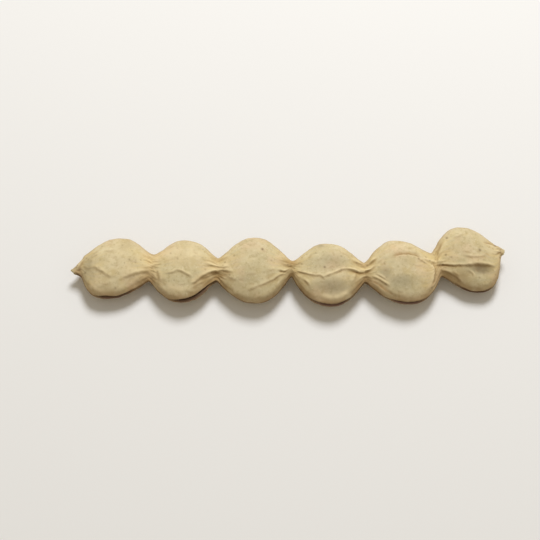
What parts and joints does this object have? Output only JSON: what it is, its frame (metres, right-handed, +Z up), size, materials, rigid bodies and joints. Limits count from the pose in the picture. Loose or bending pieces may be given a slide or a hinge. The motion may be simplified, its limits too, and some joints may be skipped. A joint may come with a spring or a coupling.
{
  "type": "dried babul pod",
  "caption": "Dried seed pod lying flat: a necklace row of lens-shaped beads joined by narrow necks, with a seam round the edge and a broken neck at each end.",
  "frame": {"origin": "on the surface that the pod lies on, under the middle of its box", "axes": "+X along the pod, towards the end whose broken neck sits off-centre on the +Y side, +Z up through the flat faces of the beads"},
  "size_m": [0.1022, 0.02, 0.0064],
  "materials": {
    "dried_husk": "matt, downy, cream to khaki"
  },
  "bodies": {
    "root": {"pod": "dried_husk"}
  },
  "joints": []
}
